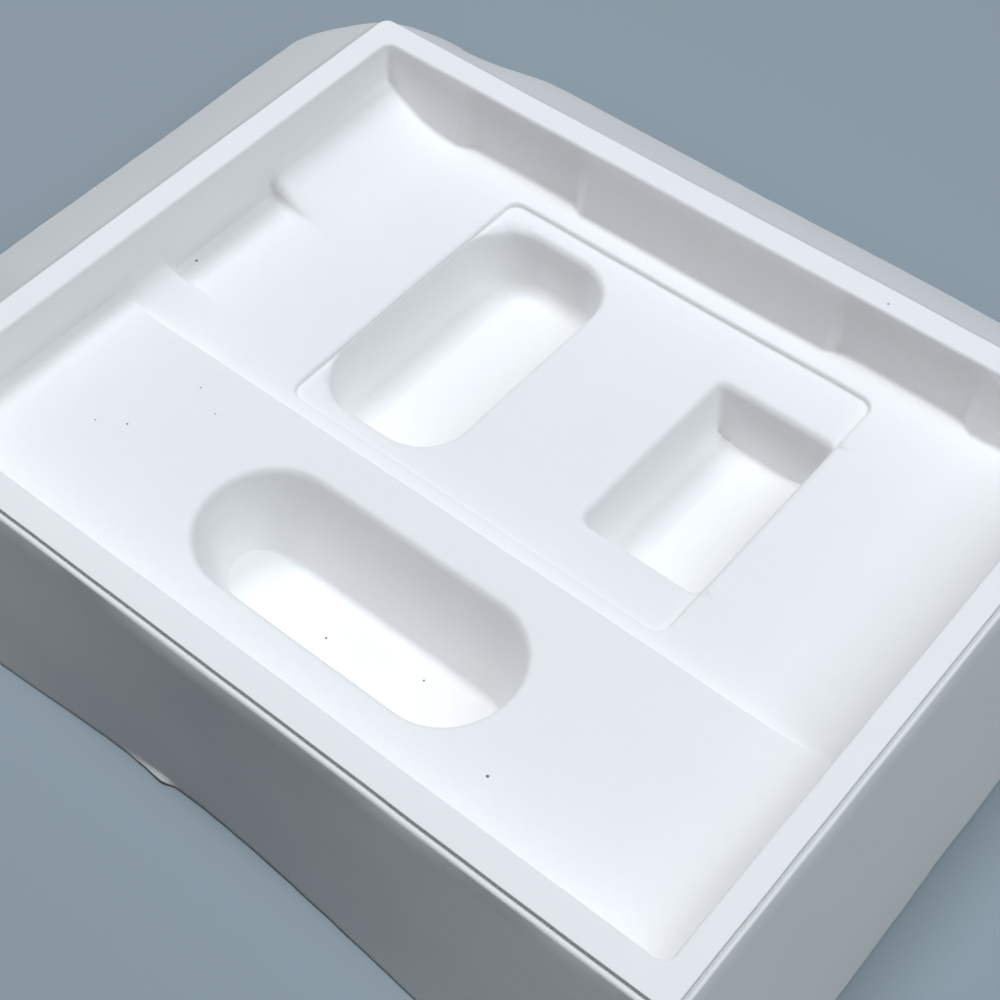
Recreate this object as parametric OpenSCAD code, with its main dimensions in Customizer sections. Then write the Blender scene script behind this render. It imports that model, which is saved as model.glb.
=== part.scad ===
// Moulded pulp packaging insert: one thin wall that forms a flat rim, a flared outer skirt,
// a front shelf with a pill-shaped pocket, and a deeper rear cradle with two pockets.
// Lengths are millimetres. Inside the modules, x and y start at the rim's front left corner
// and z = 0 is the rim's top. The finished part stands on z = 0, centred on its outline.

/* [Rim] */
// Length of the rim, left to right
rim_len = 260; // [240:1:300]
// Depth of the rim, front to back
rim_dep = 204.2; // [196:0.2:230]
// Height of the rim's top above the table
height = 45; // [42:0.5:60]
// Width of the flat rim at the front, back and left
rim_w = 8.4; // [6:0.1:11]
// Width of the flat rim at the right
rim_w_right = 7; // [5:0.1:10]
// Thickness of the pulp wall
wall = 1.2; // [0.9:0.1:1.5]
// Radius of the rim's outer corners, seen from above
rim_corner = 3; // [2:0.1:6]
// Drop from the rim's top to the narrow ledge around it
ledge_drop = 1.1; // [0.6:0.1:1.6]
// Width of the narrow ledge around the rim
ledge_w = 1.4; // [0.8:0.1:2.4]

/* [Skirt] */
// How far the skirt's foot stands out at the right corners and at the front left corner
flare = 20.3; // [14:0.1:24]
// How far the front skirt is drawn in at its middle
front_draw = 6.5; // [0:0.1:8]
// How far the right skirt is drawn in along its length
right_draw = 1.4; // [0:0.1:4]
// How far the left skirt's foot stands out, where it has opened wide
left_flare = 40.4; // [26:0.1:42]
// How far the back skirt's foot stands out, where it has opened wide
back_flare = 38; // [26:0.1:42]
// How far the back skirt's foot stands out beside the left skirt
back_left_flare = 35.5; // [26:0.1:42]
// Length from the front left corner over which the left skirt opens
left_fade = 65; // [40:1:90]
// Length from the right corners over which the back and right skirts change
right_fade = 38; // [30:1:60]

/* [Shelf and cradle] */
// Depth of the front shelf below the rim
shelf_z = 15.5; // [13:0.5:18]
// Depth of the rear cradle's floor below the rim
cradle_z = 21.4; // [19:0.2:24]
// Distance from the rim's front edge to the shelf's rear edge
shelf_edge = 79.4; // [76:0.2:82]
// Rounding of the shelf's rear edge
shelf_round = 1.5; // [0.8:0.1:2]
// Slope of the inner walls, in millimetres a millimetre
draft = 0.09; // [0.04:0.01:0.12]
// Slope of the back wall where it stands forward of its bays
rib_draft = 0.23; // [0.18:0.01:0.28]
// Radius of the inner corners, seen from above
inner_corner = 2.6; // [1.5:0.1:5]
// Rounding where the rim meets the inner walls
rim_lip = 0.9; // [0.6:0.1:1.2]
// Rounding at the foot of the shelf's walls
shelf_foot = 2; // [1:0.1:4]
// Rounding at the foot of the cradle's end walls
cradle_foot = 4; // [2:0.1:4.5]

/* [Ramps and bays] */
// Radius of the ramps that rise to the end walls
ramp_r = 50; // [45:1:60]
// Reach of a ramp from its end wall
ramp_reach = 30; // [26:0.5:34]
// Distance from the rim's front edge to the notch in the left ramp
notch_y = 97; // [92:0.5:102]
// Width of the notch in the left ramp
notch_w = 41.5; // [30:0.5:50]
// Slope of the notch's sides, in millimetres a millimetre
notch_slope = 0.2; // [0.1:0.05:0.3]
// Distance from the rim's left edge to the left bay of the back wall
bay_left = 39.4; // [37:0.2:44]
// Distance from the rim's left edge to the right bay of the back wall
bay_right = 173.2; // [160:0.2:184]
// Width of a bay at its foot
bay_w = 48.2; // [36:0.2:52]
// Width of a bay's slanted side
bay_side = 4; // [2:0.5:5]

/* [Shallow panel] */
// Distance from the rim's left edge to the panel
panel_x = 67.9; // [64:0.1:72]
// Distance from the rim's front edge to the panel
panel_y = 86.4; // [84:0.1:88]
// Length of the panel, left to right
panel_len = 127.4; // [120:0.2:134]
// Depth of the panel, front to back
panel_dep = 97.8; // [95:0.2:99]
// How far the panel lies below the cradle's floor
panel_z = 1.6; // [1.3:0.1:2.4]
// Radius of the panel's corners
panel_corner = 4; // [2:0.1:7]

/* [Left pocket] */
// Width of the left pocket
left_w = 45; // [38:0.5:50]
// Distance from the rim's front edge to the left pocket
left_y = 92.8; // [90:0.2:98]
// Depth of the left pocket, front to back
left_dep = 84.6; // [70:0.2:86]
// Radius of the left pocket's corners
left_corner = 15; // [10:0.5:19]
// Rounding at the foot of the left pocket
left_foot = 5; // [2:0.5:7]

/* [Right pocket] */
// Width of the right pocket
right_w = 37.6; // [30:0.2:44]
// Distance from the rim's front edge to the right pocket
right_y = 103.6; // [98:0.2:112]
// Depth of the right pocket, front to back
right_dep = 62; // [50:0.5:68]
// Radius of the right pocket's corners
right_corner = 2.6; // [1.6:0.1:6]
// Rounding at the foot of the right pocket's long walls
right_foot = 6.5; // [2:0.5:9]

/* [Pill pocket] */
// Distance from the rim's left edge to the pill pocket
pill_x = 81.4; // [70:0.2:90]
// Distance from the rim's front edge to the pill pocket
pill_y = 25.6; // [22:0.2:28]
// Length of the pill pocket
pill_len = 98.4; // [80:0.2:110]
// Width of the pill pocket
pill_w = 39; // [34:0.2:42]
// Slope of the pill pocket's long walls, in millimetres a millimetre
pill_slope = 0.38; // [0.2:0.01:0.4]
// Slope of the pill pocket's end walls, in millimetres a millimetre
pill_end_slope = 0.17; // [0.06:0.01:0.3]
// Rounding at the foot of the pill pocket
pill_foot = 2.5; // [1:0.5:3.5]

/* [Pockets] */
// Rounding at the mouth of every pocket
pocket_lip = 2.2; // [1.7:0.1:2.6]
// Slope of the other pockets' walls, in millimetres a millimetre
pocket_draft = 0.12; // [0.06:0.01:0.16]

/* [Hidden] */
pulp = [0.93, 0.95, 0.96];

// The insides of the rim, and the skirt's length down its slope, which is the same all round
in_x0 = rim_w;
in_x1 = rim_len - rim_w_right;
in_y0 = rim_w;
in_y1 = rim_dep - rim_w;
skirt_slope = sqrt(height * height + flare * flare);

// Centre of the finished outline, from the widest points of the four skirts
mid_x = (rim_len + flare - left_flare) / 2;
mid_y = (rim_dep + back_flare - flare) / 2;

// Levels of the pulp's upper face, below the rim's top
panel_floor = -cradle_z - panel_z;
pocket_floor = wall - height;

// Small set-backs that keep neighbouring hollows from sharing a face
tier_gap = 0.15;
tier_lap = 2.5;
crossing = 0.3;
feather = 0.15;

// Radius of a corner that looks crisp, and the roundings of the rim's and ledge's outer edges
sharp = 0.4;
rim_round = 0.25;
ledge_round = 0.55;

// Steps in a quarter turn, for corners seen from above and for roundings in section, and steps
// along each side of the skirt
turn_steps = 6;
arc_steps = 3;
side_steps = 14;

function sorted(v) = len(v) < 2 ? v : let (p = v[0])
    concat(sorted([for (x = v) if (x < p) x]), [p], sorted([for (x = v) if (x > p) x]));
function level(z) = round(z * 50) / 50;

// A hollow's side, as [mouth level, mouth rounding, foot level, foot rounding, slope].
// grown() moves it out by g, which gives the far face of the pulp wall.
function grown(s, g) = [s[0] - g, max(s[1] - g, crossing), s[2] - g, s[3] + g, s[4]];

// How far a side lies outside its nominal line at height z
function reach(s, z) =
    z >= s[0] ? s[1] + min(3 * (z - s[0]), 2 * crossing)
    : z > s[0] - s[1] ? s[1] - sqrt(max(0, s[1] * s[1] - pow(z - s[0] + s[1], 2)))
    : -s[4] * (s[0] - s[1] - z) - foot_inset(s, z);
function foot_inset(s, z) = z < s[2] + s[3]
    ? s[3] - sqrt(max(0, s[3] * s[3] - pow(s[2] + s[3] - z, 2))) : 0;

// The heights at which a side bends
function bends(s) = concat(
    [for (i = [0 : arc_steps]) s[2] + s[3] * (1 - cos(90 * i / arc_steps))],
    [for (i = [0 : arc_steps]) s[0] - s[1] + s[1] * sin(90 * i / arc_steps)]);

// A rounded rectangle's points, counter-clockwise from the right side
function ring(x0, y0, x1, y1, radii, z) = [
    for (c = [0 : 3], i = [0 : turn_steps])
        let (r = radii[c], a = 90 * (c + i / turn_steps))
        [(c == 0 || c == 3 ? x1 - r : x0 + r) + r * cos(a),
         (c < 2 ? y1 - r : y0 + r) + r * sin(a), z]];

// Closed skin over rings of equal length, listed from the lowest to the highest
module loft(rings) {
    n = len(rings[0]);
    m = len(rings);
    around = [for (k = [0 : m - 2], i = [0 : n - 1]) let (j = (i + 1) % n)
        each [[k * n + i, k * n + n + i, k * n + n + j], [k * n + i, k * n + n + j, k * n + j]]];
    below = [for (i = [0 : n - 1]) i];
    above = [for (i = [n - 1 : -1 : 0]) (m - 1) * n + i];
    polyhedron([for (r = rings) each r], concat([below, above], around), convexity = 4);
}

// A hollow with a rounded rectangle's plan. Its sides come in the order left, front, right, back,
// its corner radii in the order back right, back left, front left, front right.
module hollow(x0, y0, x1, y1, radii, sides, g = 0) {
    s = [for (side = sides) grown(side, g)];
    foot = min([for (side = s) side[2]]);
    heights = sorted([for (side = s) each [for (z = bends(side)) level(z)]]);
    used = concat([for (z = heights) if (z >= foot - 0.01) z], [max(heights) + crossing]);
    loft([for (z = used)
        let (o = [for (side = s) reach(side, z) + g], low = min(o))
        ring(x0 - o[0], y0 - o[1], x1 + o[2], y1 + o[3],
             [for (r = radii) max(r + low, sharp)], z)]);
}

// The opening above the front shelf
module shelf_hollow(g = 0) {
    side = [0, rim_lip, -shelf_z, shelf_foot, draft];
    open = [0, crossing, -shelf_z, sharp, 0];
    hollow(in_x0 + tier_gap, in_y0, in_x1 - tier_gap, shelf_edge + tier_lap,
        [sharp, sharp, inner_corner, inner_corner], [side, side, side, open], g);
}

// The deeper opening behind the shelf, before the ramps fill its ends
module cradle_box(g = 0) {
    end = [0, rim_lip, -cradle_z, cradle_foot, draft];
    front = [-shelf_z, shelf_round, -cradle_z, sharp, draft];
    back = [0, rim_lip, -cradle_z, sharp, rib_draft];
    hollow(in_x0, shelf_edge, in_x1, in_y1,
        [inner_corner, inner_corner, sharp, sharp], [end, front, end, back], g);
}

// A ramp's solid: a bar along y whose upper face is part of a large cylinder. Its two ends lean
// by the slopes given, and it starts a little below the cradle's floor.
module ramp(y0, y1, slope0, slope1, g = 0) {
    above = cradle_z * 0.7;
    below = g + 3;
    difference() {
        translate([-rim_w, 0, -cradle_z - below])
            rotate([90, 0, 90])
                linear_extrude(rim_w + in_x0 + ramp_reach)
                    polygon([[y0 - slope0 * below, 0],
                             [y1 + slope1 * below, 0],
                             [y1 - slope1 * above, below + above],
                             [y0 + slope0 * above, below + above]]);
        translate([in_x0 + ramp_reach, y1 + below, ramp_r - cradle_z - feather])
            rotate([90, 0, 0])
                cylinder(r = ramp_r + g, h = y1 - y0 + 2 * below, $fn = 180);
    }
}

// Both ramps. The notch parts the left one in two.
module ramps(g = 0) {
    front = shelf_edge - rim_w;
    back = rim_dep;
    ramp(front, notch_y - g, 0, notch_slope, g);
    ramp(notch_y + notch_w + g, back, notch_slope, 0, g);
    translate([in_x1 + in_x0, 0, 0])
        mirror([1, 0, 0])
            ramp(front, back, 0, 0, g);
}

// A bay of the back wall: flush with the wall at the rim, deepest at the cradle's floor
module bay(x, g = 0) {
    foot = [-cradle_z - g, in_y1 - rib_draft * cradle_z, in_y1 - draft * cradle_z];
    top = [-rim_lip - g, in_y1 - crossing, in_y1 - crossing];
    loft([for (at = [foot, top])
        [[x - g, at[1] - bay_side, at[0]],
         [x + bay_w + g, at[1] - bay_side, at[0]],
         [x + bay_w + g, at[1] + g, at[0]],
         [x + bay_w - bay_side + g, at[2] + g, at[0]],
         [x + bay_side - g, at[2] + g, at[0]],
         [x - g, at[1] + g, at[0]]]]);
}

module panel(g = 0) {
    side = [-cradle_z, panel_z / 2, panel_floor, panel_z / 3, draft];
    hollow(panel_x, panel_y, panel_x + panel_len, panel_y + panel_dep,
        [for (c = [0 : 3]) panel_corner], [side, side, side, side], g);
}

// A pocket's side, whose mouth is at the panel or, where it meets the panel's edge, at the cradle
function pocket_side(mouth, foot, slope = pocket_draft) =
    [mouth, pocket_lip, pocket_floor, foot, slope];

module left_pocket(g = 0) {
    x = panel_x + pocket_lip / 4;
    inner = pocket_side(panel_floor, left_foot);
    edge = pocket_side(-cradle_z, left_foot);
    hollow(x, left_y, x + left_w, left_y + left_dep,
        [for (c = [0 : 3]) left_corner], [edge, inner, inner, inner], g);
}

module right_pocket(g = 0) {
    x = panel_x + panel_len - pocket_lip / 4;
    inner = pocket_side(panel_floor, right_foot);
    end = pocket_side(panel_floor, sharp * 2);
    edge = pocket_side(-cradle_z, right_foot);
    hollow(x - right_w, right_y, x, right_y + right_dep,
        [for (c = [0 : 3]) right_corner], [inner, end, edge, end], g);
}

module pill_pocket(g = 0) {
    side = pocket_side(-shelf_z, pill_foot, pill_slope);
    end = pocket_side(-shelf_z, pill_foot, pill_end_slope);
    hollow(pill_x, pill_y, pill_x + pill_len, pill_y + pill_w,
        [for (c = [0 : 3]) pill_w / 2 - crossing], [end, side, end, side], g);
}

// Everything that the pulp wall encloses from above. Grown by the wall, it is the far face.
module hollows(g = 0) {
    shelf_hollow(g);
    difference() {
        cradle_box(g);
        ramps(g);
    }
    bay(bay_left, g);
    bay(bay_right, g);
    panel(g);
    left_pocket(g);
    right_pocket(g);
    pill_pocket(g);
}

// How far a skirt's foot stands out at a distance from the near end of a side, going from one
// end's value to the middle's and back to the other end's
function ease(t) = t <= 0 ? 0 : t >= 1 ? 1 : t * t * (3 - 2 * t);
function opening(along, length, start, middle, end, fade) = along < length / 2
    ? start + (middle - start) * ease(along / fade)
    : end + (middle - end) * ease((length - along) / fade);

// Places around the rim, as [x, y, outward angle, how far the skirt's foot stands out there]
function side_places(from, to, angle, start, middle, end, fade) = [
    for (i = [1 : side_steps - 1])
        let (t = (1 - cos(180 * i / side_steps)) / 2, length = norm(to - from))
        [from[0] + (to[0] - from[0]) * t, from[1] + (to[1] - from[1]) * t,
         angle, opening(t * length, length, start, middle, end, fade)]];
function corner_places(x, y, angle, start, end) = [
    for (i = [0 : turn_steps])
        let (t = i / turn_steps, a = angle + 90 * t)
        [x + rim_corner * cos(a), y + rim_corner * sin(a), a, start + (end - start) * t]];
function places() = let (r = rim_corner, w = rim_len, d = rim_dep) concat(
    corner_places(w - r, d - r, 0, flare, flare),
    side_places([w - r, d], [r, d], 90, flare, back_flare, back_left_flare, right_fade),
    corner_places(r, d - r, 90, back_left_flare, left_flare),
    side_places([0, d - r], [0, r], 180, left_flare, left_flare, flare, left_fade),
    corner_places(r, r, 180, flare, flare),
    side_places([r, 0], [w - r, 0], 270, flare, flare - front_draw, flare, rim_len / 2),
    corner_places(w - r, r, 270, flare, flare),
    side_places([w, r], [w, d - r], 0, flare, flare - right_draw, flare, right_fade));

// Section of the ledge and skirt at one place, as [out from the rim, height], once around.
// The skirt is as long down its slope everywhere, so it lifts off the table where it opens wide.
function section(out) =
    let (drop = min(height, sqrt(skirt_slope * skirt_slope - out * out)),
         top = [ledge_w + ledge_round, -ledge_drop - ledge_round],
         foot = [out, -drop],
         d = (foot - top) / norm(foot - top),
         inward = wall * [d[1], -d[0]])
    [[-wall, -rim_round], [0, -rim_round], [0, -ledge_drop], [ledge_w, -ledge_drop], top,
     (top * 2 + foot) / 3, (top + foot * 2) / 3, foot, [out + wall / d[1], -drop],
     (top + foot * 2) / 3 + inward, (top * 2 + foot) / 3 + inward, top + inward,
     [-wall * 0.75, -wall - ledge_round], [-wall * 1.25, -wall * 0.75]];

// The ledge and skirt, as one section carried once around the rim
module skirt() {
    at = places();
    n = len(at);
    k = len(section(flare));
    points = [for (p = at) each [for (q = section(p[3]))
        [p[0] + q[0] * cos(p[2]), p[1] + q[0] * sin(p[2]), q[1]]]];
    faces = [for (i = [0 : n - 1], j = [0 : k - 1])
        let (a = i * k + j, b = i * k + (j + 1) % k,
             c = (i + 1) % n * k + (j + 1) % k, d = (i + 1) % n * k + j)
        each [[a, d, c], [a, c, b]]];
    polyhedron(points, faces, convexity = 6);
}

// The flat rim, before the hollows open it
module rim_plate() {
    r = rim_corner - rim_round;
    w = rim_len - 2 * rim_round;
    d = rim_dep - 2 * rim_round;
    translate([rim_round, rim_round, -wall])
        linear_extrude(wall) {
            translate([r, 0]) square([w - 2 * r, d]);
            translate([0, r]) square([w, d - 2 * r]);
            for (x = [r, w - r], y = [r, d - r])
                translate([x, y]) circle(r = r, $fn = 48);
        }
}

module pulp_insert() {
    color(pulp)
        translate([-mid_x, -mid_y, height])
            difference() {
                union() {
                    skirt();
                    rim_plate();
                    hollows(wall);
                }
                hollows();
            }
}

pulp_insert();
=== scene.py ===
import math

import bpy
import numpy as np
from mathutils import Matrix, Vector, kdtree, noise
from mathutils.geometry import delaunay_2d_cdt


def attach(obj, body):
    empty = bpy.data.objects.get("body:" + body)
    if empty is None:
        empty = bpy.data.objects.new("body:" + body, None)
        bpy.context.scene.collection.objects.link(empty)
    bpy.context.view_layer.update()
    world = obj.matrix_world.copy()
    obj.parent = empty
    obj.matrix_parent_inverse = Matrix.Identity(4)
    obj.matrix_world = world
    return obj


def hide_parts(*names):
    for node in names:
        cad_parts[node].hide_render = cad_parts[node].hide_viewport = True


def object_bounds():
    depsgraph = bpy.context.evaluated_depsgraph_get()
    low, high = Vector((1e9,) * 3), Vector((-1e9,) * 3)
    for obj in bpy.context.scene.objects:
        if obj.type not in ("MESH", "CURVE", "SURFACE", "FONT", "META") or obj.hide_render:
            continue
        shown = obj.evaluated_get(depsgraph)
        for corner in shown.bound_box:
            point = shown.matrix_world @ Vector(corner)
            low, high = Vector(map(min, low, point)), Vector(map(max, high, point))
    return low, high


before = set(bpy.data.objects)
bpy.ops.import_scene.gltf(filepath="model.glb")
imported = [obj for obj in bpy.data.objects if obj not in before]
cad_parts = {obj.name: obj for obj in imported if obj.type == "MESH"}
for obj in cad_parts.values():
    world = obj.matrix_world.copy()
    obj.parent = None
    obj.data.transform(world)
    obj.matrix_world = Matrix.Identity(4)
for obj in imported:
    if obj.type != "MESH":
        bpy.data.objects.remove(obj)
cad_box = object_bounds()

# Sizes in millimetres. x and y start at the rim's front left corner and z = 0 is the rim's top.
# Slopes are in millimetres a millimetre.
RIM_LEN, RIM_DEP, HEIGHT = 260.0, 204.2, 45.0
RIM_W, RIM_W_RIGHT = 8.4, 7.0
WALL = 1.2
RIM_CORNER = 3.0
LEDGE_DROP, LEDGE_W = 1.45, 1.15

# How far the skirt's foot stands out, and the lengths over which that changes
FLARE, FRONT_DRAW, RIGHT_DRAW = 20.3, 6.5, 1.4
LEFT_FLARE, BACK_FLARE, BACK_LEFT_FLARE = 40.4, 38.0, 35.5
LEFT_FADE, RIGHT_FADE = 65.0, 38.0
SKIRT_LEN = math.hypot(HEIGHT, FLARE)

# The shelf, the cradle and the walls round them
SHELF_Z, CRADLE_Z, SHELF_EDGE = 15.5, 21.4, 79.4
SHELF_ROUND, DRAFT, RIB_DRAFT = 2.4, 0.09, 0.23
INNER_CORNER, RIM_LIP = 2.6, 0.9
SHELF_TOE, RAMP_TOE, BACK_TOE, LEFT_END_TOE = 2.0, 2.5, 1.3, 1.2
SHELF_STRIP, RAMP_STRIP, NOTCH_STRIP, END_STRIP_SLOPE = 4.6, 2.4, 5.9, 0.12
STEP_TOE, HUMP_LIP, HUMP_BACK = 0.9, 2.2, 3.5

RAMP_R, RAMP_REACH = 50.0, 30.0
NOTCH_Y, NOTCH_W, NOTCH_SLOPE = 97.0, 41.5, 0.2
NOTCH_LIP, NOTCH_TOE = 3.0, 2.5
BAY_XS, BAY_W, BAY_SIDE = (39.4, 173.2), 48.2, 4.0
BAY_BENDS = (0, BAY_SIDE / 2, BAY_SIDE, BAY_W - BAY_SIDE, BAY_W - BAY_SIDE / 2, BAY_W)

# The panel and the pockets
PANEL_X, PANEL_Y, PANEL_LEN, PANEL_DEP = 67.9, 86.4, 127.4, 97.8
PANEL_Z, PANEL_CORNER, PANEL_LIP, PANEL_TOE = 1.6, 4.0, 0.9, 0.7
LEFT_W, LEFT_Y, LEFT_DEP, LEFT_CORNER, LEFT_TOE = 45.0, 92.8, 84.6, 15.0, 5.0
RIGHT_W, RIGHT_Y, RIGHT_DEP, RIGHT_CORNER = 37.6, 103.6, 62.0, 2.6
RIGHT_TOE, RIGHT_END_TOE = 8.0, 1.0
LEFT_LONG_TOE, LEFT_STRIP, RIGHT_STRIP, STRIP_SLOPE = 7.0, 9.4, 10.2, 0.24
PILL_X, PILL_Y, PILL_LEN, PILL_W, PILL_TOE = 81.4, 25.6, 98.4, 39.0, 2.5
PILL_SLOPE, PILL_END_SLOPE, PILL_STRIP = 0.38, 0.17, 11.0
POCKET_LIP, POCKET_DRAFT = 2.2, 0.12

IN_X0, IN_X1 = RIM_W, RIM_LEN - RIM_W_RIGHT
IN_Y0, IN_Y1 = RIM_W, RIM_DEP - RIM_W
PANEL_FLOOR = -CRADLE_Z - PANEL_Z
POCKET_FLOOR = WALL - HEIGHT

# Centre of the outline, which is the frame's origin
MID = Vector(((RIM_LEN + FLARE - LEFT_FLARE) / 2, (RIM_DEP + BACK_FLARE - FLARE) / 2, -HEIGHT))

PULP = (0.935, 0.925, 0.918)
SPECK = (0.20, 0.19, 0.19, 1)
# Fine specks: cells a metre, the share of cells without one, their reach and their darkness
CELL_SCALE, CELL_BARE, CELL_REACH, CELL_DARK = 130.0, 0.72, 0.085, 0.45
# Painted shade on the skirt: how much darker its colour is made than the rest, and where outside
# the rim that comes in, in metres
SKIRT_PAINTED_SHADE, SKIRT_SHADE_FADE = 0.18, (0.0013, 0.0030)
# Noise scales, and how much each noise changes the pulp's tone
CLOUD_SCALE, GRAIN_SCALE, FIBRE_SCALE, FIBRE_STRETCH = 38.0, 620.0, 300.0, 2.6
CLOUD_TONE, GRAIN_TONE, FIBRE_TONE, BASE_TONE = 0.030, 0.020, 0.030, 0.960
TABLE = (0.305, 0.362, 0.40, 1)
# Each lamp's name, direction, size in metres, power in watts and colour
LAMPS = [
    ("left", (-0.47, 0.09, 1), 0.55, 12.2, (0.87, 0.91, 1.0)),
    ("top", (0, 0.18, 1), 0.5, 3.3, (0.93, 1.0, 0.98)),
    ("far_right", (0.52, 0.2, 0.83), 0.6, 4.6, (0.60, 0.81, 1.0)),
    ("right", (0.7, 0, 0.7), 0.6, 3.0, (0.80, 0.85, 1.0)),
    ("high_right", (0.4, 0, 0.9), 0.6, 3.9, (1.0, 0.93, 0.76)),
]
LAMP_AWAY = 1.6
AIR, AIR_STRENGTH = (0.86, 0.93, 1.0, 1), 0.02

CAMERA_AT, CAMERA_TARGET = (333.5, -140.4, 372.2), (147.95, 80.86, 0)
CAMERA_ROLL, LENS = -0.48, 68.2
# The floor's half length, and how far it lies below the insert, in metres
FLOOR_HALF, FLOOR_GAP = 6.0, 0.0002

# How finely the pulp is meshed
EDGE_STEP = 1.7
FLOOR_STEP = 3.0
TURN_STEPS = 14
SKIRT_TURN = 16
# Stations along the long and the short walls, which keep clear of the corners
LONG_STATIONS, SHORT_STATIONS, CORNER_CLEAR = 140, 104, 4
# The floors' points, in the triangles of a honeycomb: the rows' distance as a share of the step
ROW_SHARE = 0.87

# The border lines of the two sheets, in from the rim's edge. The smallest lip an underside has.
SHEET_EDGE, UNDER_EDGE = 0.45, 1.35
LEAST_LIP = 0.3

# The rim's rounded edge, and below it the ledge, as (out from the rim, height) down to the skirt
EDGE_ROUND = 0.24
LEDGE_LINE = [
    (0.01, -0.7),
    (0.03, -LEDGE_DROP + 0.1),
    (0.06, -LEDGE_DROP + 0.03),
    (0.14, -LEDGE_DROP),
    (LEDGE_W - 0.55, -LEDGE_DROP - 0.02),
    (LEDGE_W - 0.15, -LEDGE_DROP - 0.08),
    (LEDGE_W + 0.18, -LEDGE_DROP - 0.24),
    (LEDGE_W + 0.42, -LEDGE_DROP - 0.5),
]
SKIRT_TOP = (LEDGE_W + 0.58, -LEDGE_DROP - 0.85)
# The same under the ledge, from the skirt's inner face up to the rim's underside
UNDER_LINE = [(-0.2, -WALL - LEDGE_DROP + 0.15), (-0.95, -WALL - 0.45), (-1.15, -WALL - 0.12)]
# Where the skirt's section is sampled, as shares of its length, and the rounding of its foot
SKIRT_SHARES = (0, 0.11, 0.22, 0.33, 0.44, 0.55, 0.66, 0.77, 0.88, 0.97, 0.985, 1)
FOOT_ROUND = 0.45
# Where the torn lip starts, is widest and ends, along the front
TORN_X = (99.0, 117.5, 122.0)
# How often the skirt's unevenness comes and goes, in turns a millimetre
WANDER_RATE, NIBBLE_RATE, WAVE_RATE = 0.045, 0.22, 0.03
# The warp's rates and reaches in millimetres, and its seed
SLOW_RATE, SLOW_WARP, QUICK_RATE, QUICK_WARP = 0.018, 0.4, 0.075, 0.1
WARP_SEED = 4


def to_frame(points):
    """Points in millimetres from the rim's corner, as metres in the part's frame"""
    return (np.asarray(points, float) - np.array(MID)) / 1000


def smooth(t):
    t = np.clip(t, 0, 1)
    return t * t * (3 - 2 * t)


def side_height(d, mouth, lip, foot, toe, slope, strip=0.0, strip_slope=STRIP_SLOPE):
    """Height of a hollow's side, d inside its nominal line: lip, sloping wall, toe, a shallow
    slanted strip as wide as strip, and floor"""
    tall = np.maximum(mouth - foot, 1e-6)
    scale = np.minimum(tall / (lip + toe), 1)
    lip, toe = lip * scale, toe * scale
    toe_at = slope * (mouth - foot - lip - toe)
    z = np.where(d < toe_at, mouth - lip - d / slope, foot)
    in_toe = (d >= toe_at) & (d < toe_at + toe)
    arc = foot + toe - np.sqrt(np.maximum(toe**2 - (toe - d + toe_at) ** 2, 0))
    z = np.where(in_toe, arc, z)
    z = np.maximum(z, foot + strip_slope * np.minimum(strip - d + toe_at, strip))
    arc = mouth - lip + np.sqrt(np.maximum(lip**2 - (lip + d) ** 2, 0))
    z = np.where(d <= 0, arc, z)
    return np.where(d <= -lip, mouth, z)


def side_distances(mouth, lip, foot, toe, slope, strip, lip_steps, wall_steps, toe_steps,
                   strip_slope=STRIP_SLOPE):
    """The distances at which a side's section is sampled, from its lip to its floor"""
    tall = max(mouth - foot, 1e-6)
    scale = min(tall / (lip + toe), 1)
    lip, toe = lip * scale, toe * scale
    toe_at = slope * (mouth - foot - lip - toe)
    d = [-lip * math.cos(math.pi / 2 * i / lip_steps) for i in range(lip_steps)]
    d += [toe_at * i / wall_steps for i in range(wall_steps)]
    meet = toe
    if strip:
        bend = toe - np.linspace(0, toe, 200)
        over = toe - np.sqrt(toe**2 - bend**2) > strip_slope * (strip - toe + bend)
        meet = toe - bend[np.count_nonzero(over) - 1]
    turn = math.acos(1 - meet / toe)
    d += [toe_at + toe * (1 - math.cos(turn * i / toe_steps)) for i in range(toe_steps + 1)]
    d += [toe_at + max(strip, toe + 0.6) + gap for gap in (-0.03, 0.03)]
    return d


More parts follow.
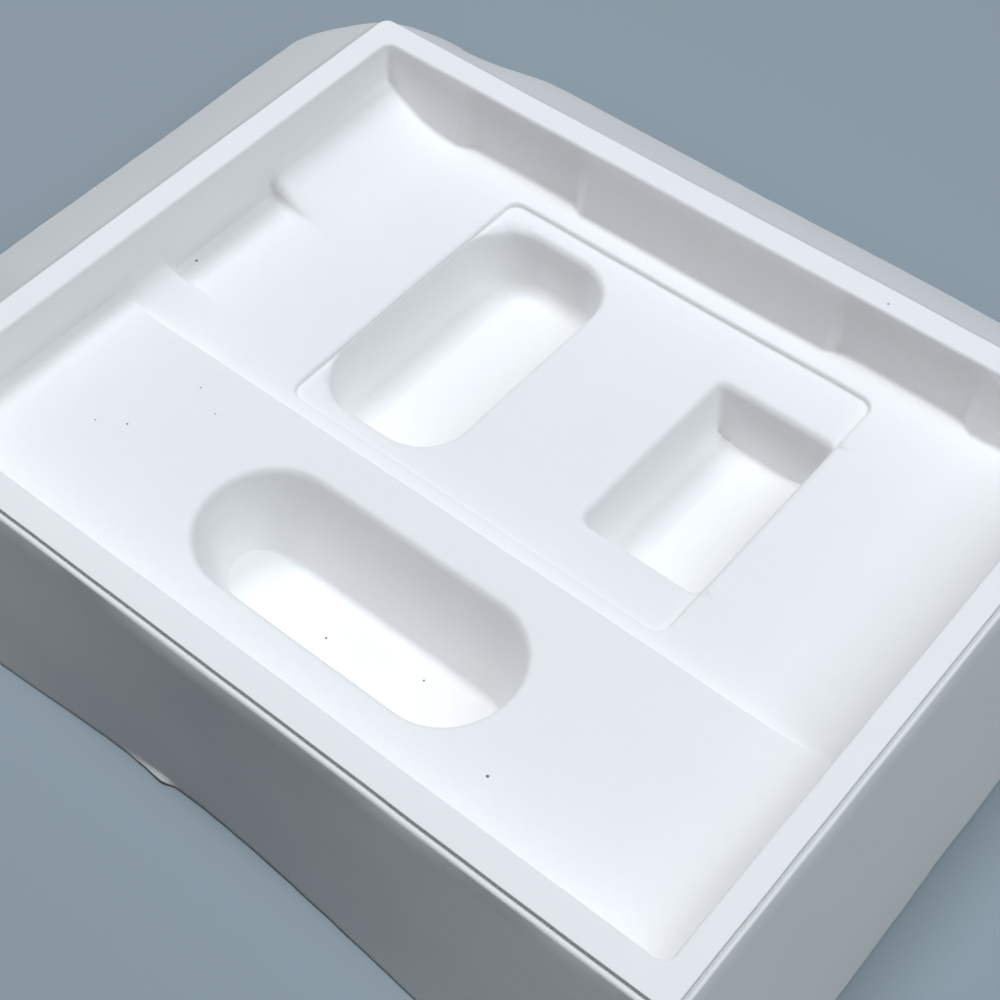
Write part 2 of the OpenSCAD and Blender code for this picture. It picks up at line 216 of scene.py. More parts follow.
class Hollow:
    """A hollow with a rounded rectangle's plan. Its sides come in the order left, front, right,
    back, each as (mouth, lip, foot, toe, slope, strip). far is 0 for the pulp's upper face, and
    the wall's thickness for its underside."""

    def __init__(self, x0, y0, x1, y1, radii, sides, far):
        self.box = (x0 - far, y0 - far, x1 + far, y1 + far)
        self.radii = [r + far for r in radii]
        self.sides = [
            (m - far, max(lip - far, LEAST_LIP), foot - far, toe + far, slope, strip)
            for m, lip, foot, toe, slope, strip in sides
        ]

    def near(self, x, y):
        """For each point: is it in the left half, in the front half, how far it lies inside the
        nearer of the left and right sides and of the front and back ones, and its corner's
        radius"""
        x0, y0, x1, y1 = self.box
        left = x < (x0 + x1) / 2
        front = y < (y0 + y1) / 2
        dx = np.where(left, x - x0, x1 - x)
        dy = np.where(front, y - y0, y1 - y)
        back_r = np.where(left, self.radii[1], self.radii[0])
        front_r = np.where(left, self.radii[2], self.radii[3])
        return left, front, dx, dy, np.where(front, front_r, back_r)

    def distance(self, x, y):
        """How far each point lies inside the nominal outline"""
        _, _, dx, dy, r = self.near(x, y)
        cx, cy = r - dx, r - dy
        return np.where((cx > 0) & (cy > 0), r - np.hypot(cx, cy), np.minimum(dx, dy))

    def heights(self, x, y, feet=None, toes=None, slopes=None, strips=None):
        """Heights at the points x, y. feet, toes, slopes and strips stand in for the sides' own
        values where these change along a side."""
        left, front, dx, dy, r = self.near(x, y)
        ends = [np.where(left, a, b) for a, b in zip(self.sides[0], self.sides[2])]
        longs = [np.where(front, a, b) for a, b in zip(self.sides[1], self.sides[3])]
        if feet is not None:
            ends[2] = longs[2] = feet
        if toes is not None:
            ends[3], longs[3] = toes
        if slopes is not None:
            longs[4] = slopes
        if strips is not None:
            ends[5] = strips
            ends, longs = ends + [END_STRIP_SLOPE], longs + [END_STRIP_SLOPE]
        z = np.maximum(side_height(dx, *ends), side_height(dy, *longs))
        cx, cy = r - dx, r - dy
        t = smooth(np.arctan2(cy, cx) / (math.pi / 2))
        blended = [a + (b - a) * t for a, b in zip(ends, longs)]
        turned = side_height(r - np.hypot(cx, cy), *blended)
        return np.where((cx > 0) & (cy > 0), turned, z)

    def cut(self, x, y):
        """The hollow's own surface inside its lip, and nothing to cut outside it"""
        lip = self.sides[1][1]
        return np.where(self.distance(x, y) > -lip, self.heights(x, y), np.inf)

    def lines(self):
        """Closed lines round the hollow, at the bends of its sides' sections"""
        insets = [side_distances(*side, 4, 3, 6) for side in self.sides]
        return [(self.ring(inset), True) for inset in zip(*insets)]

    def ring(self, insets):
        """A closed line inside the outline, insets[side] in from each side: its points run
        counter-clockwise from the back right corner"""
        x0, y0, x1, y1 = self.box
        spots = [
            (x1, y1, -1, -1, 2, 3), (x0, y1, 1, -1, 0, 3),
            (x0, y0, 1, 1, 0, 1), (x1, y0, -1, 1, 2, 1)]
        corners = []
        for (x, y, sx, sy, end, side), r in zip(spots, self.radii):
            a, b = insets[end], insets[side]
            if max(a, b) >= r - 0.05:
                corners.append(np.array([(x + sx * a, y + sy * b)]))
                continue
            n = max(3, min(TURN_STEPS, math.ceil((r - min(a, b)) * math.pi / 2 / 0.7)))
            angles = math.pi / 2 * np.arange(n + 1) / n
            if sx * sy < 0:
                angles = angles[::-1]
            own = r - a - (b - a) * smooth(angles / (math.pi / 2))
            turned = [x + sx * (r - own * np.cos(angles)), y + sy * (r - own * np.sin(angles))]
            corners.append(np.column_stack(turned))
        line = []
        for k, corner in enumerate(corners):
            line.append(corner)
            a, b = corner[-1], corners[(k + 1) % 4][0]
            n = max(1, int(round(np.linalg.norm(b - a) / EDGE_STEP)))
            t = np.arange(1, n)[:, None] / n
            line.append(a + (b - a) * t)
        return np.vstack(line)


def pocket_side(mouth, toe, slope=POCKET_DRAFT, strip=0.0):
    return (mouth, POCKET_LIP, POCKET_FLOOR, toe, slope, strip)


def pockets(far):
    """The shallow panel and the three pockets"""
    panel_side = (-CRADLE_Z, PANEL_LIP, PANEL_FLOOR, PANEL_TOE, DRAFT, 0.0)
    panel_x1 = PANEL_X + PANEL_LEN
    left_x = PANEL_X + POCKET_LIP / 4
    right_x = panel_x1 - POCKET_LIP / 4
    left_edge = pocket_side(-CRADLE_Z, LEFT_LONG_TOE, strip=LEFT_STRIP)
    left_long = pocket_side(PANEL_FLOOR, LEFT_LONG_TOE, strip=LEFT_STRIP)
    left_inner = pocket_side(PANEL_FLOOR, LEFT_TOE)
    right_edge = pocket_side(-CRADLE_Z, RIGHT_TOE, strip=RIGHT_STRIP)
    right_inner = pocket_side(PANEL_FLOOR, RIGHT_TOE, strip=RIGHT_STRIP)
    right_end = pocket_side(PANEL_FLOOR, RIGHT_END_TOE)
    pill = pocket_side(-SHELF_Z, PILL_TOE, PILL_SLOPE)
    pill_end = pocket_side(-SHELF_Z, PILL_TOE, PILL_END_SLOPE)
    pill_left = pocket_side(-SHELF_Z, PILL_TOE, PILL_END_SLOPE, PILL_STRIP)
    return [
        Hollow(PANEL_X, PANEL_Y, panel_x1, PANEL_Y + PANEL_DEP, [PANEL_CORNER] * 4,
               [panel_side] * 4, far),
        Hollow(left_x, LEFT_Y, left_x + LEFT_W, LEFT_Y + LEFT_DEP, [LEFT_CORNER] * 4,
               [left_edge, left_inner, left_long, left_inner], far),
        Hollow(right_x - RIGHT_W, RIGHT_Y, right_x, RIGHT_Y + RIGHT_DEP, [RIGHT_CORNER] * 4,
               [right_inner, right_end, right_edge, right_end], far),
        Hollow(PILL_X, PILL_Y, PILL_X + PILL_LEN, PILL_Y + PILL_W, [PILL_W / 2 - 0.3] * 4,
               [pill_left, pill, pill_end, pill], far),
    ]


def ramp_height(x, far):
    """Height of the cradle's floor and of the ramps at its two ends"""
    u = np.maximum(IN_X0 + RAMP_REACH - x, 0) + np.maximum(x - IN_X1 + RAMP_REACH, 0)
    return RAMP_R - CRADLE_Z - np.sqrt((RAMP_R + far) ** 2 - np.minimum(u, RAMP_REACH + 3) ** 2)


def cradle_floor(x, y, far):
    """The cradle's floor with its ramps, the left one parted by the notch"""
    ramp = ramp_height(x, far)
    foot = -CRADLE_Z - far
    lip = max(NOTCH_LIP - far, LEAST_LIP)
    inside = np.minimum(y - NOTCH_Y, NOTCH_Y + NOTCH_W - y) + far
    d = inside + NOTCH_SLOPE * np.maximum(ramp - lip - foot, 0)
    notched = side_height(d, ramp, lip, foot, NOTCH_TOE + far, NOTCH_SLOPE)
    tall = np.maximum(ramp - foot, 0)
    soft = foot + tall * (1 - smooth((d + lip) / (lip + NOTCH_TOE + far)))
    share = np.clip(tall / (NOTCH_LIP + NOTCH_TOE), 0, 1) ** 2
    notched = soft + (notched - soft) * share
    return np.where(x < RIM_LEN / 2, notched, ramp)


def tiers(x, y, far):
    """The shelf, and behind it the cradle's floor, which lies lower except at its ends"""
    floor = cradle_floor(x, y, far)
    shelf = -SHELF_Z - far
    down = side_height(y - SHELF_EDGE + far, shelf, max(SHELF_ROUND - far, LEAST_LIP),
                       np.minimum(floor, shelf), STEP_TOE + far, DRAFT)
    risen = smooth((y - SHELF_EDGE + 1) / (HUMP_BACK + HUMP_LIP))
    up = shelf + np.maximum(floor - shelf, 0) * risen
    return np.where(floor < shelf, down, up)


def back_slope(x):
    """Slope of the back wall, which stands upright in its bays and leans forward beside them"""
    bay = 0.0
    for at in BAY_XS:
        bay = np.maximum(bay, np.clip(np.minimum(x - at, at + BAY_W - x) / BAY_SIDE, 0, 1))
    return RIB_DRAFT + (DRAFT - RIB_DRAFT) * bay


def end_toe(x, y):
    """Rounding at the foot of the end walls"""
    behind = smooth((y - SHELF_EDGE) / 3)
    return np.where(x < RIM_LEN / 2, LEFT_END_TOE, SHELF_TOE + behind * (RAMP_TOE - SHELF_TOE))


def end_strip(x, y):
    """Width of the slanted strip at the foot of the left end wall"""
    notch = smooth(np.minimum(y - NOTCH_Y, NOTCH_Y + NOTCH_W - y) / 2)
    behind = smooth((y - SHELF_EDGE) / 3)
    width = SHELF_STRIP + behind * (RAMP_STRIP + notch * (NOTCH_STRIP - RAMP_STRIP) - SHELF_STRIP)
    return width * (x < RIM_LEN / 2)


def opening(far):
    side = (0.0, RIM_LIP, -SHELF_Z, SHELF_TOE, DRAFT, 0.0)
    return Hollow(IN_X0, IN_Y0, IN_X1, IN_Y1, [INNER_CORNER] * 4, [side] * 4, far)


def pulp_height(x, y, far):
    """Height of the pulp's upper face at x, y, or with far = WALL of its underside"""
    x, y = np.asarray(x, float), np.asarray(y, float)
    z = tiers(x, y, far)
    for hollow in pockets(far):
        z = np.minimum(z, hollow.cut(x, y))
    toes = (end_toe(x, y) + far, np.where(y > RIM_DEP / 2, BACK_TOE, SHELF_TOE) + far)
    slopes = np.where(y > RIM_DEP / 2, back_slope(x), DRAFT)
    walls = opening(far)
    inside = walls.distance(x, y) > -walls.sides[0][1]
    heights = walls.heights(x, y, z, toes, slopes, end_strip(x, y))
    return np.where(inside, heights, -far)


def opening_lines(far):
    """Lines round the opening, at the bends of its walls' section"""
    walls = opening(far)
    x0, y0, x1, y1 = walls.box
    lip = walls.sides[0][1]
    reach_in = 3.5
    xs = np.unique(np.concatenate([
        np.linspace(x0 + CORNER_CLEAR, x1 - CORNER_CLEAR, LONG_STATIONS),
        [at + bend for at in BAY_XS for bend in BAY_BENDS]]))
    ys = np.unique(np.concatenate([
        np.linspace(y0 + CORNER_CLEAR, y1 - CORNER_CLEAR, SHORT_STATIONS),
        [SHELF_EDGE - 0.8, SHELF_EDGE + 0.1]]))

    def section(x, y, at_end):
        """Distances from the wall at which it is sampled, for a place x, y of the floor by it"""
        spot = np.array([x]), np.array([y])
        foot = float(tiers(*spot, far)[0])
        toe, slope, strip = SHELF_TOE, DRAFT, 0.0
        if at_end:
            toe, strip = float(end_toe(*spot)[0]), float(end_strip(*spot)[0])
        elif y > RIM_DEP / 2:
            toe, slope = BACK_TOE, float(back_slope(x))
        return side_distances(-far, lip, foot, far + toe, slope, strip, 4, 5, 5, END_STRIP_SLOPE)

    sides = {
        "left": [(y, section(x0 + reach_in, y, True)) for y in ys],
        "right": [(y, section(x1 - reach_in, y, True)) for y in ys],
        "front": [(x, section(x, y0 + reach_in, False)) for x in xs],
        "back": [(x, section(x, y1 - reach_in - 2, False)) for x in xs],
    }
    lines = []
    for k in range(len(sides["left"][0][1])):
        left = [(x0 + s[k], y) for y, s in sides["left"]]
        right = [(x1 - s[k], y) for y, s in sides["right"]]
        front = [(x, y0 + s[k]) for x, s in sides["front"]]
        back = [(x, y1 - s[k]) for x, s in sides["back"]]
        corners = [
            (right[-1][0], back[-1][1], -1, -1, 0), (left[-1][0], back[0][1], 1, -1, 90),
            (left[0][0], front[0][1], 1, 1, 180), (right[0][0], front[-1][1], -1, 1, 270)]
        inset = min(sides["left"][0][1][k], sides["back"][0][1][k])
        arcs = []
        for (cx, cy, sx, sy, start), own in zip(corners, walls.radii):
            r = max(own - inset, 0.05)
            a = np.radians(start + 90 * np.arange(5) / 4)
            arcs.append(list(zip(cx + sx * r + r * np.cos(a), cy + sy * r + r * np.sin(a))))
        line = arcs[0] + back[::-1] + arcs[1] + left[::-1] + arcs[2] + front + arcs[3] + right
        lines.append((np.array(line), True))
    return lines


def step_lines(far):
    """Lines along the shelf's rear edge, the rise to the ramps and the notch's two sides"""
    lines = []
    x0, x1 = IN_X0 - far, IN_X1 + far
    xs = np.linspace(x0, x1, int((x1 - x0) / EDGE_STEP))
    shelf = -SHELF_Z - far
    floor = ramp_height(xs, far)
    lip = max(SHELF_ROUND - far, LEAST_LIP)
    down = [side_distances(shelf, lip, min(f, shelf), STEP_TOE + far, DRAFT, 0.0, 4, 2, 4)
            for f in floor]
    for k in range(len(down[0])):
        lines.append((np.array([(x, SHELF_EDGE - far + d[k]) for x, d in zip(xs, down)]), False))
    lip = max(HUMP_LIP - far, LEAST_LIP)
    up = [side_distances(max(f, shelf), lip, shelf, HUMP_LIP + far, DRAFT, 0.0, 3, 1, 3)
          for f in floor]
    rise_end = SHELF_EDGE + HUMP_BACK + far
    for k in range(len(up[0])):
        lines.append((np.array([(x, rise_end - d[k]) for x, d in zip(xs, up)]), False))
    xs = np.linspace(x0, IN_X0 + RAMP_REACH, 26)
    ramp = ramp_height(xs, far)
    lip = max(NOTCH_LIP - far, LEAST_LIP)
    foot = -CRADLE_Z - far
    side = [side_distances(h, lip, foot, NOTCH_TOE + far, NOTCH_SLOPE, 0.0, 4, 3, 4) for h in ramp]
    lean = NOTCH_SLOPE * np.maximum(ramp - lip - foot, 0)
    for k in range(len(side[0])):
        inset = np.array([d[k] for d in side]) - lean - far
        lines.append((np.column_stack([xs, NOTCH_Y + inset]), False))
        lines.append((np.column_stack([xs, NOTCH_Y + NOTCH_W - inset]), False))
    return lines


def sheet(border, far):
    """The pulp's upper face, or with far = WALL its underside: a mesh inside the border line whose
    edges follow every lip, wall and toe. Returns its points, its triangles and, for each point of
    the border, the number of its point in the mesh."""
    spots = [tuple(p) for p in border]
    edges = [(i, (i + 1) % len(border)) for i in range(len(border))]

    def add(line, closed, keep):
        numbers = []
        for p, kept in zip(line, keep):
            numbers.append(len(spots) if kept else None)
            if kept:
                spots.append(tuple(p))
        pairs = list(zip(numbers, numbers[1:]))
        if closed:
            pairs.append((numbers[-1], numbers[0]))
        edges.extend((a, b) for a, b in pairs if a is not None and b is not None)

    for line, closed in opening_lines(far):
        add(line, closed, np.ones(len(line), bool))
    walls = opening(far)
    for line, closed in step_lines(far):
        own = tiers(line[:, 0], line[:, 1], far)
        seen = pulp_height(line[:, 0], line[:, 1], far)
        inside = walls.distance(line[:, 0], line[:, 1]) > 0
        add(line, closed, (np.abs(own - seen) < 0.05) & inside)
    for hollow in pockets(far):
        for line, closed in hollow.lines():
            own = hollow.heights(line[:, 0], line[:, 1])
            seen = pulp_height(line[:, 0], line[:, 1], far)
            add(line, closed, np.abs(own - seen) < 0.02)

    taken = kdtree.KDTree(len(spots))
    for i, p in enumerate(spots):
        taken.insert((p[0], p[1], 0), i)
    taken.balance()
    margin = 0.8
    for j in range(int(RIM_DEP / (FLOOR_STEP * ROW_SHARE))):
        for i in range(int(RIM_LEN / FLOOR_STEP)):
            p = ((i + 0.5 * (j % 2) + 0.25) * FLOOR_STEP, (j + 0.5) * FLOOR_STEP * ROW_SHARE)
            inside = margin < p[0] < RIM_LEN - margin and margin < p[1] < RIM_DEP - margin
            if inside and taken.find((p[0], p[1], 0))[2] > FLOOR_STEP * 0.45:
                spots.append(p)

    found = delaunay_2d_cdt([Vector(p) for p in spots], edges, [], 0, 1e-4, True)
    points, faces, origins = found[0], found[2], found[3]
    xy = np.array([tuple(p) for p in points])
    z = pulp_height(xy[:, 0], xy[:, 1], far)
    of_spot = {i: k for k, made_from in enumerate(origins) for i in made_from}
    border_points = [of_spot[i] for i in range(len(border))]
    return np.column_stack([xy, z]), [tuple(f) for f in faces], border_points


def opened(along, length, start, middle, end, fade):
    """How far a skirt's foot stands out, at a distance from the near end of its side"""
    if along < length / 2:
        return start + (middle - start) * float(smooth(along / fade))
    return end + (middle - end) * float(smooth((length - along) / fade))


def skirt_places():
    """Places around the rim, as (x, y, outward angle, how far the skirt's foot stands out)"""
    r, w, d = RIM_CORNER, RIM_LEN, RIM_DEP
    corners = [
        (w - r, d - r, FLARE, FLARE), (r, d - r, BACK_LEFT_FLARE, LEFT_FLARE),
        (r, r, FLARE, FLARE), (w - r, r, FLARE, FLARE)]
    sides = [
        ((w - r, d), (r, d), FLARE, BACK_FLARE, BACK_LEFT_FLARE, RIGHT_FADE),
        ((0, d - r), (0, r), LEFT_FLARE, LEFT_FLARE, FLARE, LEFT_FADE),
        ((r, 0), (w - r, 0), FLARE, FLARE - FRONT_DRAW, FLARE, w / 2),
        ((w, r), (w, d - r), FLARE, FLARE - RIGHT_DRAW, FLARE, RIGHT_FADE)]
    places = []
    for k, (corner, side) in enumerate(zip(corners, sides)):
        cx, cy, first, last = corner
        a, b, start, middle, end, fade = side
        for i in range(SKIRT_TURN + 1):
            t = i / SKIRT_TURN
            angle = math.radians(90 * (k + t))
            place = (cx + r * math.cos(angle), cy + r * math.sin(angle))
            places.append((*place, angle, first + (last - first) * t))
        length = math.dist(a, b)
        steps = int(length / EDGE_STEP)
        for i in range(1, steps):
            t = i / steps
            place = (a[0] + (b[0] - a[0]) * t, a[1] + (b[1] - a[1]) * t)
            out = opened(t * length, length, start, middle, end, fade)
            places.append((*place, math.radians(90 * (k + 1)), out))
    return places


def torn(x, y):
    """Where the front skirt's foot is torn and its edge has curled outwards, from 0 to 1"""
    start, widest, end = TORN_X
    if y > 1 or not start < x < end:
        return 0.0
    grown = (x - start) / (widest - start) if x < widest else (end - x) / (end - widest)
    ragged = noise.noise(Vector((x * 0.5, 3.1, 0.4)))
    return float(smooth(grown)) * (0.35 + 0.65 * grown) * (1 + 0.3 * ragged)


def skirt_section(x, y, out):
    """The rim's edge, ledge and skirt at one place, as (out from the rim, height) from the rim's
    top, out over the ledge, down to the foot and back up inside"""
    wander = noise.noise(Vector((x * WANDER_RATE, y * WANDER_RATE, 7.7)))
    nibble = noise.noise(Vector((x * NIBBLE_RATE, y * NIBBLE_RATE, 1.3)))
    drop = min(HEIGHT, math.sqrt(SKIRT_LEN**2 - out**2))
    lifted = drop < HEIGHT - 0.3
    drop -= 0.10 + 0.06 * nibble + (0.16 * (wander + 0.5) if lifted else 0)
    out += 0.09 * nibble - 0.2
    curl = torn(x, y)
    edge = [(-EDGE_ROUND * (1 - math.sin(a)), -EDGE_ROUND * (1 - math.cos(a)))
            for a in np.radians((0, 30, 60, 90))]
    top = np.array(SKIRT_TOP)
    foot = np.array((out, -drop))
    down = (foot - top) / np.linalg.norm(foot - top)
    outward = np.array((-down[1], down[0]))
    length = np.linalg.norm(foot - top)
    face, back = [], []
    for t in SKIRT_SHARES:
        at = top + down * (length - FOOT_ROUND) * t
        sag = 0.35 * math.sin(math.pi * t) * (1 if lifted else 0.4)
        wave = 0.18 * noise.noise(Vector((x * WAVE_RATE, y * WAVE_RATE, at[1] * 0.05 + 2)))
        at = at + outward * (sag + wave)
        face.append(at)
        back.append(at - outward * WALL)
    tip = face[-1]
    face[-1] = tip + outward * curl * 0.9
    foot_line = [tip + outward * (curl * 1.25 - 0.1) + down * FOOT_ROUND * 0.7,
                 tip + outward * (curl * 0.9 - 0.45) + down * FOOT_ROUND,
                 tip - outward * (WALL - 0.35) + down * FOOT_ROUND,
                 tip - outward * (WALL - 0.08) + down * FOOT_ROUND * 0.7]
    return [tuple(q) for q in edge + LEDGE_LINE + face + foot_line + back[::-1] + UNDER_LINE]


def inner_border(places, inset):
    return [(x - inset * math.cos(a), y - inset * math.sin(a)) for x, y, a, _ in places]


def insert_mesh():
    """The whole insert's points and faces, in millimetres"""
    places = skirt_places()
    top, top_faces, top_border = sheet(inner_border(places, SHEET_EDGE), 0.0)
    under, under_faces, under_border = sheet(inner_border(places, UNDER_EDGE), WALL)
    skirt, columns = [], 0
    for x, y, angle, out in places:
        section = skirt_section(x, y, out)
        columns = len(section)
        skirt += [(x + o * math.cos(angle), y + o * math.sin(angle), z) for o, z in section]
    faces = list(top_faces)
    start = len(top)
    faces += [tuple(i + start for i in reversed(f)) for f in under_faces]
    under_border = [i + start for i in under_border]
    start += len(under)
    n = len(places)
    for i in range(n):
        j = (i + 1) % n
        a = [top_border[i]] + [start + i * columns + c for c in range(columns)] + [under_border[i]]
        b = [top_border[j]] + [start + j * columns + c for c in range(columns)] + [under_border[j]]
        faces += [(a[c], a[c + 1], b[c + 1], b[c]) for c in range(columns + 1)]
    return np.vstack([top, under, skirt]), faces


def warped(points):
    """The points moved a little, as dried pulp warps"""
    noise.seed_set(WARP_SEED)
    moved = np.empty_like(points)
    for i, p in enumerate(points):
        v = Vector(p)
        slow = noise.noise_vector(v * SLOW_RATE)
        quick = noise.noise_vector(v * QUICK_RATE + Vector((9, 4, 2)))
        share = 0.35 + 0.65 * min(1, abs(v.z) / 20)
        moved[i] = v + slow * SLOW_WARP * share + quick * QUICK_WARP
    return moved


def insert():
    points, faces = insert_mesh()
    points = to_frame(warped(points))
    low, high = np.array(cad_box[0]), np.array(cad_box[1])
    points = np.clip(points, low, high)
    mesh = bpy.data.meshes.new("pulp_insert_skin")
    mesh.from_pydata(points.tolist(), [], faces)
    mesh.update()
    mesh.validate()
    mesh.polygons.foreach_set("use_smooth", [True] * len(mesh.polygons))
    piece = bpy.data.objects.new("pulp_insert_skin", mesh)
    bpy.context.scene.collection.objects.link(piece)
    return piece


def named_material(name):
    material = bpy.data.materials.new(name)
    material.use_nodes = True
    tree = material.node_tree
    tree.nodes.clear()
    return material, tree


def joined(tree, kind, inputs=(), **settings):
    """A new node. inputs maps its sockets to numbers, colours or other nodes' outputs."""
    node = tree.nodes.new(kind)
    for key, value in settings.items():
        setattr(node, key, value)
    for key, value in dict(inputs).items():
        if isinstance(value, bpy.types.NodeSocket):
            tree.links.new(value, node.inputs[key])
        else:
            node.inputs[key].default_value = value
    return node


def math_node(tree, operation, *values):
    return joined(tree, "ShaderNodeMath", enumerate(values), operation=operation).outputs[0]


def mottle(tree, at, scale, detail=3.0, turn=0.0, stretch=(1, 1, 1)):
    """Noise from 0 to 1 round about 0.5, which may be drawn out into fibres"""
    inputs = {"Vector": at, "Rotation": (0.3, 0.2, turn), "Scale": stretch}
    placed = joined(tree, "ShaderNodeMapping", inputs).outputs[0]
    inputs = {"Vector": placed, "Scale": scale, "Detail": detail}
    return joined(tree, "ShaderNodeTexNoise", inputs).outputs[0]


# Dark specks that show in the pulp, as (x, y, height, radius) in millimetres from the rim's corner
SPECKS = [
    (189.8, 25.6, -15.5, 0.42),
    (12.7, 105.3, -20.5, 0.42),
    (186.3, 199.0, 0, 0.30),
    (120.1, 42.4, -43.8, 0.34),
    (148.6, 48.8, -43.8, 0.30),
    (52.6, 68.3, -15.5, 0.22),
    (62.3, 64.2, -15.5, 0.22),
    (39.0, 42.2, -15.5, 0.22),
    (46.7, 46.6, -15.5, 0.30),
]
# Warp lifts the pulp a little, so a speck's height counts less than its place
FLATTENED = (1, 1, 0.2)


def specks(tree, at):
    """1 inside a speck and 0 outside: those of SPECKS, and fine ones scattered at random"""
    cells = joined(tree, "ShaderNodeTexVoronoi", {"Vector": at, "Scale": CELL_SCALE})
    size = joined(tree, "ShaderNodeSeparateColor", {"Color": cells.outputs["Color"]})
    reach = math_node(tree, "SUBTRACT", size.outputs[0], CELL_BARE)
    reach = math_node(tree, "MULTIPLY", reach, CELL_REACH)
    inside = math_node(tree, "LESS_THAN", cells.outputs["Distance"], reach)
    mask = math_node(tree, "MULTIPLY", inside, CELL_DARK)
    flat = joined(tree, "ShaderNodeVectorMath", {0: at, 1: FLATTENED}, operation="MULTIPLY")
    for x, y, z, radius in SPECKS:
        ends = {0: flat.outputs[0], 1: tuple(to_frame((x, y, z)) * FLATTENED)}
        away = joined(tree, "ShaderNodeVectorMath", ends, operation="DISTANCE")
        inside = math_node(tree, "LESS_THAN", away.outputs["Value"], radius / 1000)
        mask = math_node(tree, "MAXIMUM", mask, inside)
    return mask


def skirt_shade_mask(tree, at):
    """Where the skirt's painted shade goes: 0 inside the rim's edge and 1 on the skirt"""
    middle = to_frame((RIM_LEN / 2, RIM_DEP / 2, 0))
    parts = joined(tree, "ShaderNodeSeparateXYZ", {0: at})
    sides = []
    for axis, half in ((0, RIM_LEN / 2000), (1, RIM_DEP / 2000)):
        offset = math_node(tree, "SUBTRACT", parts.outputs[axis], float(middle[axis]))
        sides.append(math_node(tree, "SUBTRACT", math_node(tree, "ABSOLUTE", offset), half))
    out = math_node(tree, "MAXIMUM", *sides)
    inputs = {"Value": out, "From Min": SKIRT_SHADE_FADE[0], "From Max": SKIRT_SHADE_FADE[1]}
    return joined(tree, "ShaderNodeMapRange", inputs).outputs[0]


def pulp_material():
    material, tree = named_material("pulp")
    at = joined(tree, "ShaderNodeTexCoord").outputs["Object"]
    cloud = mottle(tree, at, CLOUD_SCALE)
    grain = mottle(tree, at, GRAIN_SCALE, 4.0)
    along = mottle(tree, at, FIBRE_SCALE, turn=0.5, stretch=(1, FIBRE_STRETCH, 1))
    across = mottle(tree, at, FIBRE_SCALE, turn=-0.9, stretch=(FIBRE_STRETCH, 1, 1))
    half = math_node(tree, "MULTIPLY", across, 0.5)
    fibres = math_node(tree, "MULTIPLY_ADD", along, 0.5, half)
    tone = math_node(tree, "MULTIPLY", grain, GRAIN_TONE)
    tone = math_node(tree, "MULTIPLY_ADD", cloud, CLOUD_TONE, tone)
    tone = math_node(tree, "MULTIPLY_ADD", fibres, FIBRE_TONE, tone)
    tone = math_node(tree, "ADD", tone, BASE_TONE)
    # Painted shade: the skirt's colour is made darker than the rest to stand for the shade it lies
    # in
    shaded = math_node(tree, "MULTIPLY_ADD", skirt_shade_mask(tree, at), -SKIRT_PAINTED_SHADE, 1.0)
    tone = math_node(tree, "MULTIPLY", tone, shaded)
    pulp = joined(tree, "ShaderNodeVectorMath", {0: PULP, "Scale": tone}, operation="SCALE")
    mixed = joined(tree, "ShaderNodeMix", {"Factor": specks(tree, at)}, data_type="RGBA")
    tree.links.new(pulp.outputs[0], mixed.inputs["A"])
    mixed.inputs["B"].default_value = SPECK
    height = math_node(tree, "MULTIPLY_ADD", grain, 0.5, fibres)
    bump = joined(tree, "ShaderNodeBump", {"Height": height, "Strength": 0.2, "Distance": 0.0003})
    shader = joined(tree, "ShaderNodeBsdfPrincipled", {
        "Base Color": mixed.outputs["Result"], "Roughness": 0.88, "Specular IOR Level": 0.25,
        "Normal": bump.outputs[0]})
    joined(tree, "ShaderNodeOutputMaterial", {"Surface": shader.outputs[0]})
    return material


def floor_piece():
    mesh = bpy.data.meshes.new("floor")
    half = FLOOR_HALF
    corners = [(-half, -half, 0), (half, -half, 0), (half, half, 0), (-half, half, 0)]
    mesh.from_pydata(corners, [], [(0, 1, 2, 3)])
    floor = bpy.data.objects.new("floor", mesh)
    floor.location.z = -FLOOR_GAP
    bpy.context.scene.collection.objects.link(floor)
    material, tree = named_material("floor")
    shader = joined(tree, "ShaderNodeBsdfPrincipled", {"Base Color": TABLE, "Roughness": 0.9})
    joined(tree, "ShaderNodeOutputMaterial", {"Surface": shader.outputs[0]})
    mesh.materials.append(material)


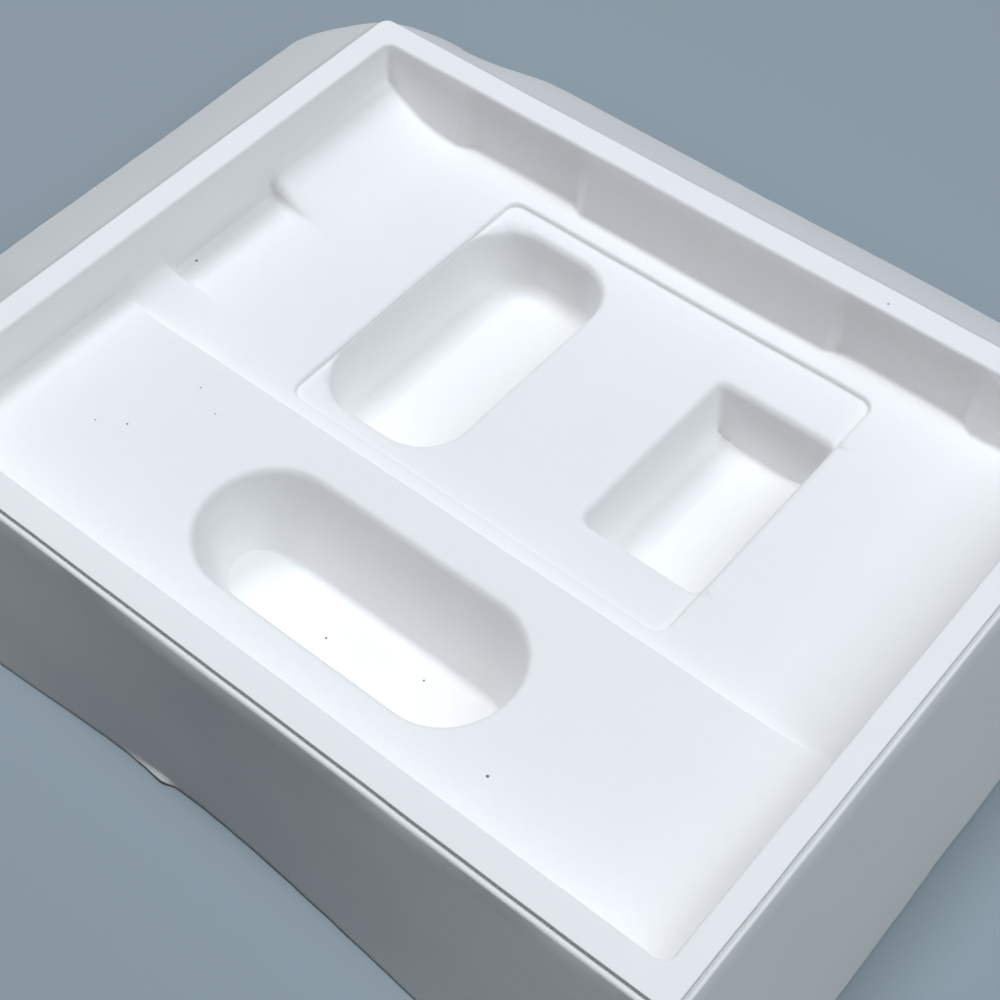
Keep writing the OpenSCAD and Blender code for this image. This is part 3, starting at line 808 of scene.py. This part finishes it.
def aim(piece, at, target, roll=0.0):
    piece.location = at
    look = Vector(target) - Vector(at)
    turn = look.to_track_quat("-Z", "Y").to_matrix().to_4x4()
    piece.matrix_world = Matrix.Translation(Vector(at)) @ turn @ Matrix.Rotation(roll, 4, "Z")


def camera():
    data = bpy.data.cameras.new("camera")
    data.sensor_width = 36
    data.lens = LENS
    data.clip_start = 0.05
    data.clip_end = 50
    piece = bpy.data.objects.new("camera", data)
    bpy.context.scene.collection.objects.link(piece)
    aim(piece, to_frame(CAMERA_AT), to_frame(CAMERA_TARGET), math.radians(CAMERA_ROLL))
    bpy.context.scene.camera = piece


def lamp(name, at, target, size, power, colour):
    data = bpy.data.lights.new(name, "AREA")
    data.shape = "DISK"
    data.size = size
    data.energy = power
    data.color = colour
    piece = bpy.data.objects.new(name, data)
    bpy.context.scene.collection.objects.link(piece)
    aim(piece, at, target)


def lights():
    """Soft lamps: the strongest high on the left, the others above and on the right"""
    for name, way, size, power, colour in LAMPS:
        lamp(name, Vector(way).normalized() * LAMP_AWAY, (0, 0, 0), size, power, colour)
    world = bpy.data.worlds.new("studio")
    world.use_nodes = True
    tree = world.node_tree
    tree.nodes.clear()
    path = joined(tree, "ShaderNodeLightPath").outputs
    seen = math_node(tree, "MAXIMUM", path["Is Glossy Ray"], path["Is Transmission Ray"])
    seen = math_node(tree, "MAXIMUM", path["Is Camera Ray"], seen)
    air = joined(tree, "ShaderNodeBackground", {"Color": AIR, "Strength": AIR_STRENGTH})
    backdrop = joined(tree, "ShaderNodeBackground", {"Color": TABLE, "Strength": 1.0})
    shaders = {0: seen, 1: air.outputs[0], 2: backdrop.outputs[0]}
    mixed = joined(tree, "ShaderNodeMixShader", shaders)
    joined(tree, "ShaderNodeOutputWorld", {"Surface": mixed.outputs[0]})
    bpy.context.scene.world = world


piece = insert()
piece.data.materials.append(pulp_material())
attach(piece, "root")
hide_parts("pulp_insert")
floor_piece()
lights()
camera()
scene = bpy.context.scene
scene.view_settings.view_transform = "Standard"
print("triangles", sum(len(p.vertices) - 2 for p in piece.data.polygons), "sides",
      piece.dimensions[:])
